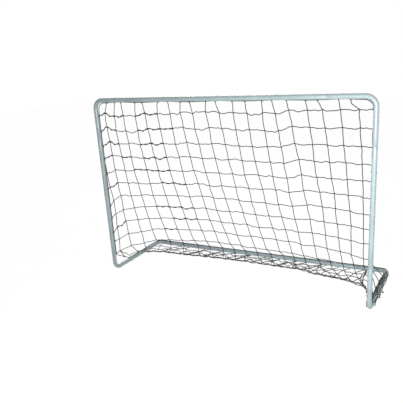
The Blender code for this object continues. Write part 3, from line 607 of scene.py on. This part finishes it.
def slack_cord(knots, sway, upright):
    """A slack cord through its knots.

    Each length between two knots gets seeded kinks and one seeded bow, mostly along one
    direction and less where it is short. A cubic whose slopes are a share of the
    neighbours' chord joins them.
    """
    lengths = len(knots) - 1
    part = np.linspace(0, 1, KINKS, endpoint=False)[None, :, None]
    kink = draws.normal(0, KINK_SPREAD, (lengths, KINKS, 3))
    kink += upright * draws.normal(0, 1, (lengths, KINKS, 1))
    kink[:, 0] = 0
    bow = upright * draws.normal(BOW_MIDDLE, BOW_SPREAD, (lengths, 1, 1)) * np.sin(math.pi * part)
    reach = np.linalg.norm(np.diff(knots, axis=0), axis=1)
    size = (sway * np.minimum(reach / WHOLE_SWAY, 1))[:, None, None]
    line = knots[:-1, None] * (1 - part) + knots[1:, None] * part + (kink + bow) * size
    stops = np.concatenate([line.reshape(-1, 3), knots[-1:]])
    padded = np.concatenate([stops[:1], stops, stops[-1:]])
    slope = (padded[2:] - padded[:-2]) / 2 * EASE
    t = np.linspace(0, 1, CORD_STEPS, endpoint=False)[None, :, None]
    curve = (stops[:-1, None] * (2 * t ** 3 - 3 * t ** 2 + 1) + slope[:-1, None] * (t ** 3 - 2 * t ** 2 + t)
             + stops[1:, None] * (3 * t ** 2 - 2 * t ** 3) + slope[1:, None] * (t ** 3 - t ** 2))
    return np.concatenate([curve.reshape(-1, 3), knots[-1:]])


KNOT_ROUND, KNOT_HIGH = knot_grid()
KNOTS = net_place(KNOT_ROUND, KNOT_HIGH)
COLUMNS = KNOTS.shape[1]
FIRST_ROW = np.concatenate([[EDGE_FROM], np.zeros(BACK_COLUMNS + 1, int), RIGHT_FROM])
LAST_ROW = np.concatenate([np.full(SHORT_FROM, ROWS), np.full(COLUMNS - SHORT_FROM, ROWS - 1)])
held = (np.arange(ROWS)[:, None] >= FIRST_ROW) & (np.arange(ROWS)[:, None] < LAST_ROW)

# Where a row looks dark and thick a second cord is wound round it: by row, from which knot to which
TWIST = 0.55
DOUBLED = {0: ((0, 3), (4, 6)), 1: ((0, 2), (4, 7)), 2: ((0, 2), (4, 6)), 3: ((0, 1), (2, 3), (4, 6)),
           4: ((0, 1), (4, 7)), 5: ((1, 2), (6, 8)), 7: ((5, 8),), 8: ((1, 2), (6, 8)), 9: ((5, 6),)}
row_paths, hitch_places, hitch_axes = [], [], []
for row in range(ROWS):
    knots = KNOTS[row][held[row]]
    left = np.array([-ROPE_X, ROPE_Y, LEFT_POST_AT[row]])
    right = np.array([ROPE_X, ROPE_Y, RIGHT_POST_AT[row]])
    if row == ROWS - 1:
        right = np.array([REAR_AT[LAST_ENDS_AT], REAR_Y, ROPE_LOW])
    knots = np.concatenate([left[None], knots, right[None]])
    # the slack is largest at the top left, where the net is gathered most
    less = np.linspace(1, TOP_SWAY_RIGHT, len(knots) - 1)
    sway = ROW_SWAY + TOP_SWAY * np.exp(-row / SWAY_ROWS) * less
    path = slack_cord(knots, sway, Z)
    row_paths.append((path, Z))
    for first, last in DOUBLED.get(row, ()):
        part = path[first * KINKS * CORD_STEPS:last * KINKS * CORD_STEPS + 1]
        turn = TWIST * np.arange(len(part))[:, None]
        row_paths.append((part + 2 * TWINE * (np.cos(turn) * Z + np.sin(turn) * Y), Z))
    hitch_places += [left, right]
    hitch_axes += [Z, X if row == ROWS - 1 else Z]

# Where the columns at the sides end: at the feet, on the side tubes, in the left rear bend, and one
# on the rear tube past the last that shows
LEFT_FOOT, RIGHT_FOOT = (-0.880, -0.180, 0.063), (0.8815, -0.177, 0.0665)
LEFT_BEND, LEFT_SIDE_AT = (-0.876, 0.276), (-0.003, 0.100)
LAST_REAR_AT, RIGHT_SIDE_AT = 0.782, (0.150, 0.040, -0.070)
# The last column of the back first runs aslant from its hitch on the crossbar to this place
HOOK_COLUMN, HOOK = BACK_COLUMNS, np.array([0.759, HANG_Y, 1.148])
top_hitches = ([np.array([-ROPE_X, ROPE_Y, LEFT_POST_AT[EDGE_FROM - 1]])]
               + [np.array([at, ROPE_Y, ROPE_Z]) for at in CROSSBAR_AT]
               + [np.array([ROPE_X, ROPE_Y, high]) for high in RIGHT_POST_TOPS])
top_hitches = list(rope_slack(np.array(top_hitches)))
base_hitches = ([np.array(LEFT_FOOT)]
                + [np.array([-POST_X, back, ROPE_LOW]) for back in LEFT_SIDE_AT]
                + [np.array([*LEFT_BEND, ROPE_LOW])]
                + [np.array([at, REAR_Y, ROPE_LOW]) for at in (*REAR_AT, LAST_REAR_AT)]
                + [np.array([POST_X, back, ROPE_LOW]) for back in RIGHT_SIDE_AT]
                + [np.array(RIGHT_FOOT)])
column_paths = []
for column in range(COLUMNS):
    knots = KNOTS[:, column][held[:, column]]
    hook = HOOK[None][:int(column == HOOK_COLUMN)]
    knots = np.concatenate([top_hitches[column][None], hook, knots, base_hitches[column][None]])
    column_paths.append((slack_cord(knots, COLUMN_SWAY, X), X))
    hitch_places += [top_hitches[column], base_hitches[column]]
    on_crossbar, on_rear = 1 <= column <= BACK_COLUMNS, 4 <= column <= BACK_COLUMNS + 1
    hitch_axes += [X if on_crossbar else Z, X if on_rear else Y]

# At the left foot one loose cord runs from the corner's last knot along the side tube to a hitch
FOOT_CORD = np.array([(-0.216, 0.112), (-0.183, 0.096), (-0.141, 0.060), (-0.103, 0.062), (-0.053, 0.055),
                      (-0.003, 0.044), (0.061, 0.036)])
FOOT_CORD_X = -0.862
foot_cord = np.concatenate([KNOTS[-1, :1], np.insert(FOOT_CORD, 0, FOOT_CORD_X, axis=1),
                            base_hitches[2][None]])
row_paths.append((slack_cord(foot_cord, FOOT_SWAY, Z), Z))

# Twisted black polyethylene twine: three strands laid in a 12 mm turn, dull.
STRANDS, LAY_MM = 3, 12
LAID, laid = new_finish("black_twisted_twine", {"Roughness": 0.7, "Sheen Weight": 0.2})
uv = add_node(LAID, "ShaderNodeUVMap", uv_map="along").outputs["UV"]
turns = add_node(LAID, "ShaderNodeMapping", {
    "Scale": (STRANDS * math.pi / 5, STRANDS * math.pi / 5 * 1000 / LAY_MM, 0.0)}, {"Vector": uv})
strands = add_node(LAID, "ShaderNodeTexWave", links={"Vector": turns.outputs["Vector"]},
                   bands_direction="DIAGONAL").outputs["Fac"]
# painted shade and highlight: each strand is darker in the grooves and paler on its crest
tint = add_node(LAID, "ShaderNodeValToRGB", links={"Fac": strands})
tint.color_ramp.elements[0].color = linear("#171c1b")
tint.color_ramp.elements[1].color = linear("#3e4745")
link(LAID, tint.outputs["Color"], laid, "Base Color")
bump = add_node(LAID, "ShaderNodeBump", {"Strength": 0.7, "Distance": 0.0003}, {"Height": strands})
link(LAID, bump.outputs["Normal"], laid, "Normal")

net_mesh = cords_mesh("net_cords", row_paths + column_paths, TWINE, TWINE_SIDES)
net = make_object("net_cords", net_mesh, LAID)
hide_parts("back_net", "side_net_left", "side_net_right")

# Knots and hitches
# A tight knot of the same twine at every crossing, and a double hitch wherever a row or a column ends
# on the rope.
KNOT_WIDE, KNOT_THICK = 0.0052, 0.0042
KNOT_RINGS, KNOT_SIDES = 5, 8
HITCH_TURN, HITCH_TWINE, HITCH_GAP = 12, 0.0019, 0.0022


def balls_mesh(name, centres, across, down, out):
    """A ball at each centre, stretched along its three axes and nipped in by the twine.

    Point = centre + across * sin p cos a + down * sin p sin a + out * cos p, and the waist
    is drawn in by a fifth of |sin 2a|.
    """
    polar = np.linspace(0, math.pi, KNOT_RINGS + 2)[1:-1][:, None]
    turn = np.linspace(0, 2 * math.pi, KNOT_SIDES, endpoint=False)[None]
    nip = 1 - 0.2 * np.abs(np.sin(2 * turn))
    shape = np.stack([np.sin(polar) * np.cos(turn) * nip, np.sin(polar) * np.sin(turn) * nip,
                      np.cos(polar) + 0 * turn], -1).reshape(-1, 3)
    shape = np.concatenate([shape, [[0, 0, 1], [0, 0, -1]]])
    axes = np.stack([across, down, out], 1)
    points = centres[:, None] + np.einsum("pk,nkd->npd", shape, axes)
    ring = np.arange(KNOT_RINGS * KNOT_SIDES).reshape(KNOT_RINGS, KNOT_SIDES)
    after = np.roll(ring, -1, 1)
    quads = np.stack([ring[:-1], ring[1:], after[1:], after[:-1]], -1).reshape(-1, 4)
    top, bottom = KNOT_RINGS * KNOT_SIDES, KNOT_RINGS * KNOT_SIDES + 1
    caps = np.concatenate([np.stack([ring[0], after[0], 0 * ring[0] + top], -1),
                           np.stack([after[-1], ring[-1], 0 * ring[0] + bottom], -1)])
    step = len(shape) * np.arange(len(centres))[:, None, None]
    faces = (quads + step).reshape(-1, 4).tolist() + (caps + step).reshape(-1, 3).tolist()
    mesh = bpy.data.meshes.new(name)
    mesh.from_pydata(points.reshape(-1, 3), [], faces)
    mesh.shade_smooth()
    mesh.update()
    return mesh


across = unit(np.gradient(KNOTS, axis=1))
down = unit(np.gradient(KNOTS, axis=0))
out = unit(np.cross(across, down))
knot_mesh = balls_mesh("net_knots", KNOTS[held], across[held] * KNOT_WIDE, down[held] * KNOT_WIDE,
                       out[held] * KNOT_THICK)
tied = make_object("net_knots", knot_mesh, LAID)

turn = np.linspace(0, 4 * math.pi, 2 * HITCH_TURN + 1)[:, None]
hitch_paths = []
for place, axis in zip(hitch_places, hitch_axes):
    side = np.roll(axis, 1)
    circle = np.cos(turn) * side + np.sin(turn) * np.cross(axis, side)
    wound = place + circle * (ROPE + HITCH_TWINE) + axis * HITCH_GAP * (turn / math.pi - 2)
    hitch_paths.append((wound, axis))
hitch_mesh = cords_mesh("net_hitches", hitch_paths, HITCH_TWINE, TWINE_SIDES)
hitches = make_object("net_hitches", hitch_mesh, LAID)

# Skirt
# What is left of the net comes over the rear tube, lies on the ground in front of it and is folded
# back under, so its cords cross in loose diamonds. Its edge is gathered, and at the right it is
# bunched along the side tube.
EDGE_X = (-0.885, -0.870, -0.750, -0.580, -0.377, -0.036, 0.190, 0.350, 0.440, 0.600, 0.670, 0.744,
          0.807, 0.840, 0.852)
EDGE_Y = (0.055, 0.069, 0.108, 0.112, 0.130, 0.142, 0.133, 0.135, 0.098, 0.075, 0.064, 0.032,
          -0.005, -0.122, -0.200)
TUBE_FRONT = REAR_Y - TUBE - TWINE - TOUCH
GROUND = TWINE + TOUCH
INSIDE = POST_X - TUBE - TWINE - TOUCH
# How a column goes over the tube, where it lands, and how far it leans on its way out and back
OVER_TURN, OVER_STEPS, OVER_SHIFT = math.radians(115), 8, 0.014
LAND_SHIFT, LAND_GAP = 0.016, 0.010
OUT_SHIFT, BACK_SHIFT = 0.105, 0.095
FAR_LEFT, EDGE_RIGHT, BACK_RIGHT = -0.86, 0.800, 0.755
# How far the columns stray and swing, and how high the fold lies over the ground
SHIFT_STRAY, EDGE_STRAY, SWING = 0.020, 0.003, 0.012
FOLD_LIFT, BACK_LIFT = 0.004, 0.003
WAY_STEPS = 12
SHARES = np.linspace(0, 1, WAY_STEPS + 1)[1:, None]
# Some columns are drawn only on the ground, from these places; the rest carry on from the back's
SKIRT_STARTS = np.linspace(-0.862, 0.420, 8)


def swung(start, end, swing):
    """A way from start to end that swings sideways: a half wave and half as much of a whole wave."""
    aside = swing[0] * np.sin(math.pi * SHARES) + swing[1] / 2 * np.sin(2 * math.pi * SHARES)
    return start + (end - start) * SHARES + X * aside


def skirt_column(start, over):
    """One column: over the tube's front, aslant across the ground to the edge, folded and back aslant."""
    turn = np.linspace(0, OVER_TURN, OVER_STEPS)[:, None]
    around = (TUBE + TWINE + TOUCH) * (np.cos(turn) * Z - np.sin(turn) * Y)
    hung = np.array([start, REAR_Y, BASE_Z]) + around
    hung[:, 0] += np.linspace(0, OVER_SHIFT, OVER_STEPS)
    edge_x = np.clip(start + OUT_SHIFT + draws.normal(0, SHIFT_STRAY), FAR_LEFT, EDGE_RIGHT)
    back_x = np.clip(edge_x + BACK_SHIFT + draws.normal(0, SHIFT_STRAY), FAR_LEFT, BACK_RIGHT)
    edge_y = np.interp(edge_x, EDGE_X, EDGE_Y) + draws.normal(0, EDGE_STRAY)
    front = np.array([start + LAND_SHIFT, TUBE_FRONT - LAND_GAP, GROUND])
    edge = np.array([edge_x, edge_y, GROUND + FOLD_LIFT])
    back = np.array([back_x, TUBE_FRONT, GROUND + BACK_LIFT])
    swing = draws.normal(0, SWING, 4)
    outward = swung(front, edge, swing[:2])
    inward = swung(edge, back, swing[2:]) + Z * FOLD_LIFT * np.sin(math.pi * SHARES)
    whole = np.concatenate([hung[:OVER_STEPS * over], front[None], outward, inward])
    whole[:, 0] = np.clip(whole[:, 0], -INSIDE, INSIDE)
    return whole, X


def waves(along, *parts):
    """A sum of sine waves, each given by its size, its turn per metre and where it starts."""
    return sum(size * np.sin(along * pace + start) for size, pace, start in parts)


# A row's right end and points, the sizes of its waves beside each other, and its rise and fall
ROW_RIGHT, ROW_STEPS, WAVE_PARTS = 0.805, 255, (1.0, 0.8, 0.6, 0.4)
ROW_RISE, RISE_PACE = 0.002, 83


def skirt_row(share, wave, lift, paces):
    """A cord along the skirt at a share of its depth, in seeded waves."""
    across_x = np.linspace(-INSIDE, ROW_RIGHT, ROW_STEPS)
    depth = TUBE_FRONT + (np.interp(across_x, EDGE_X, EDGE_Y) - TUBE_FRONT) * share
    phase = draws.uniform(0, 2 * math.pi, 4)
    wobble = waves(across_x, *zip(WAVE_PARTS, paces, phase))
    high = GROUND + lift + ROW_RISE + waves(across_x, (ROW_RISE, RISE_PACE, phase[0]))
    return np.stack([across_x, depth + wave * wobble, high], -1), Z


# The rows: share of the skirt's depth, size of the waves and lift. Those at the edge are gathered
LONG_WAVES = (31, 66, 97, 171)
LONG_ROWS = ((0.30, 0.007, 0.002), (0.64, 0.009, 0.005))
SHORT_WAVES = (67, 118, 205, 309)
SHORT_ROWS = ((0.88, 0.005, 0.003), (0.96, 0.004, 0.005), (1.01, 0.003, 0.006))
skirt_paths = [skirt_column(start, False) for start in SKIRT_STARTS]
skirt_paths += [skirt_column(start, True) for start in REAR_AT]
skirt_paths += [skirt_row(*row, LONG_WAVES) for row in LONG_ROWS]
skirt_paths += [skirt_row(*row, SHORT_WAVES) for row in SHORT_ROWS]

# The gathered end runs on to the right foot, on the ground inside the side tube
RUN_STRANDS, RUN_STEPS, RUN_LIFT = 3, 40, 0.004
RUN_AT, RUN_X = (-0.235, -0.122, -0.005, 0.020), (0.864, 0.848, 0.812, 0.800)
run_y = np.linspace(RUN_AT[-1], RUN_AT[0], RUN_STEPS)
for strand in range(RUN_STRANDS):
    phase = draws.uniform(0, 2 * math.pi, 3)
    sway = waves(run_y, (0.005, 61, phase[0]), (0.003, 133, phase[1]))
    run_x = np.minimum(np.interp(run_y, RUN_AT, RUN_X) + sway, INSIDE)
    high = GROUND + RUN_LIFT + waves(run_y, (0.003, 49, phase[2]))
    skirt_paths.append((np.stack([run_x, run_y, high], -1), Z))

# The rest is wound loosely round the right side tube and over the rope, most of it inside: each
# strand by how far it leans from the tube's top and where it starts
BUNCH = [(lean, 0.160) for lean in np.radians(np.linspace(-112, -28, 8))]
BUNCH += [(lean, 0.225) for lean in np.radians((-25, 10, 50, 90))]
BUNCH_END, BUNCH_STEPS, MOST_LEAN = -0.222, 90, 1.75
ROPE_ROUND, LOOSE = 0.35, 0.0012
for start, first_y in BUNCH:
    bunch_y = np.linspace(first_y, BUNCH_END, BUNCH_STEPS)
    phase = draws.uniform(0, 2 * math.pi, 3)
    lean = start + waves(bunch_y, (0.34, 37, phase[0]), (0.20, 83, phase[1]))
    lean = np.clip(lean, -MOST_LEAN, MOST_LEAN)
    reach = (TUBE + TWINE + TOUCH + (2 * ROPE + TOUCH) * np.exp(-(lean / ROPE_ROUND) ** 2)
             + LOOSE * (1 + np.sin(bunch_y * 59 + phase[2])))
    strand = [POST_X + reach * np.sin(lean), bunch_y, BASE_Z + reach * np.cos(lean)]
    skirt_paths.append((np.stack(strand, -1), Y))

# Loose loops outside the tube: middle, length and reach, each nipped in at its far end
LOOPS = ((-0.023, 0.034, 0.016), (-0.100, 0.040, 0.010), (-0.062, 0.024, 0.007))
LOOP_HIGH, LOOP_DROP, LOOP_NIP, LOOP_STEPS = 0.012, 0.007, 0.7, 14
share = np.linspace(0, 1, LOOP_STEPS)
bulge = np.sin(math.pi * share)
for middle, long, far in LOOPS:
    loop_x = POST_X + TUBE + TWINE + far * bulge
    loop_y = middle + long * (share - 0.5) * (1 - LOOP_NIP * bulge)
    skirt_paths.append((np.stack([loop_x, loop_y, LOOP_HIGH - LOOP_DROP * bulge], -1), Z))

skirt_mesh = cords_mesh("net_skirt_cords", skirt_paths, TWINE, TWINE_SIDES)
skirt = make_object("net_skirt_cords", skirt_mesh, LAID)
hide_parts("net_skirt")

# Floor, backdrop and light
# A plain white studio: a pale floor that keeps a faint shadow, a white world, a soft box at the right
# front and a larger one behind.
FLOOR_HALF = 12.0
FLOOR_GLOW, FLOOR_PAINT, FLOOR_GREY = 0.980, 0.05, 0.6
WORLD_LIGHT = 0.12


def seen_directly(material):
    """One for a ray from the camera, off a glossy face or through glass, and nothing for others."""
    path = add_node(material, "ShaderNodeLightPath")
    seen = path.outputs["Is Camera Ray"]
    for ray in ("Is Glossy Ray", "Is Transmission Ray"):
        larger = add_node(material, "ShaderNodeMath", links={0: seen, 1: path.outputs[ray]},
                          operation="MAXIMUM")
        seen = larger.outputs["Value"]
    return seen


floor_mesh = bpy.data.meshes.new("floor")
floor_mesh.from_pydata([(-FLOOR_HALF, -FLOOR_HALF, 0), (FLOOR_HALF, -FLOOR_HALF, 0),
                        (FLOOR_HALF, FLOOR_HALF, 0), (-FLOOR_HALF, FLOOR_HALF, 0)], [], [(0, 1, 2, 3)])
floor = bpy.data.objects.new("floor", floor_mesh)
bpy.context.scene.collection.objects.link(floor)
# Matt pale studio floor: it looks white with a faint shadow, and lights the goal as a grey one would.
FLOOR = bpy.data.materials.new("white_studio_floor")
FLOOR.use_nodes = True
FLOOR.node_tree.nodes.clear()
plain = add_node(FLOOR, "ShaderNodeBsdfDiffuse", {"Color": (FLOOR_GREY,) * 3 + (1,)})
faint = add_node(FLOOR, "ShaderNodeBsdfDiffuse", {"Color": (FLOOR_PAINT,) * 3 + (1,)})
glow = add_node(FLOOR, "ShaderNodeEmission", {"Strength": FLOOR_GLOW})
white = add_node(FLOOR, "ShaderNodeAddShader", links={0: faint.outputs[0], 1: glow.outputs[0]})
both = add_node(FLOOR, "ShaderNodeMixShader",
                links={0: seen_directly(FLOOR), 1: plain.outputs[0], 2: white.outputs[0]})
add_node(FLOOR, "ShaderNodeOutputMaterial", links={"Surface": both.outputs[0]})
floor_mesh.materials.append(FLOOR)

world = bpy.data.worlds.new("studio")
world.use_nodes = True
world.node_tree.nodes.clear()
bpy.context.scene.world = world
level = add_node(world, "ShaderNodeMapRange", {"To Min": WORLD_LIGHT, "To Max": 1.0},
                 {"Value": seen_directly(world)})
sky = add_node(world, "ShaderNodeBackground", {"Color": (1, 1, 1, 1)},
               {"Strength": level.outputs["Result"]})
add_node(world, "ShaderNodeOutputWorld", links={"Surface": sky.outputs[0]})


def add_lamp(name, place, target, size, power):
    """A square soft box at a place, facing a target, that the camera doesn't see."""
    data = bpy.data.lights.new(name, "AREA")
    data.size, data.energy = size, power
    lamp = bpy.data.objects.new(name, data)
    back = unit(np.array(place, float) - np.array(target, float))
    right = unit(np.cross(Z, back))
    matrix = np.eye(4)
    matrix[:3, :3] = np.stack([right, np.cross(back, right), back], 1)
    matrix[:3, 3] = place
    lamp.matrix_world = Matrix(matrix.tolist())
    lamp.visible_camera = False
    bpy.context.scene.collection.objects.link(lamp)


add_lamp("key_soft_box", (1.2, -2.2, 1.0), (0.2, 0.0, 0.6), 0.8, 54)
add_lamp("back_soft_box", (-1.5, 2.8, 1.9), (0.0, 0.0, 0.6), 1.5, 30)

bpy.context.scene.view_settings.view_transform = "Standard"
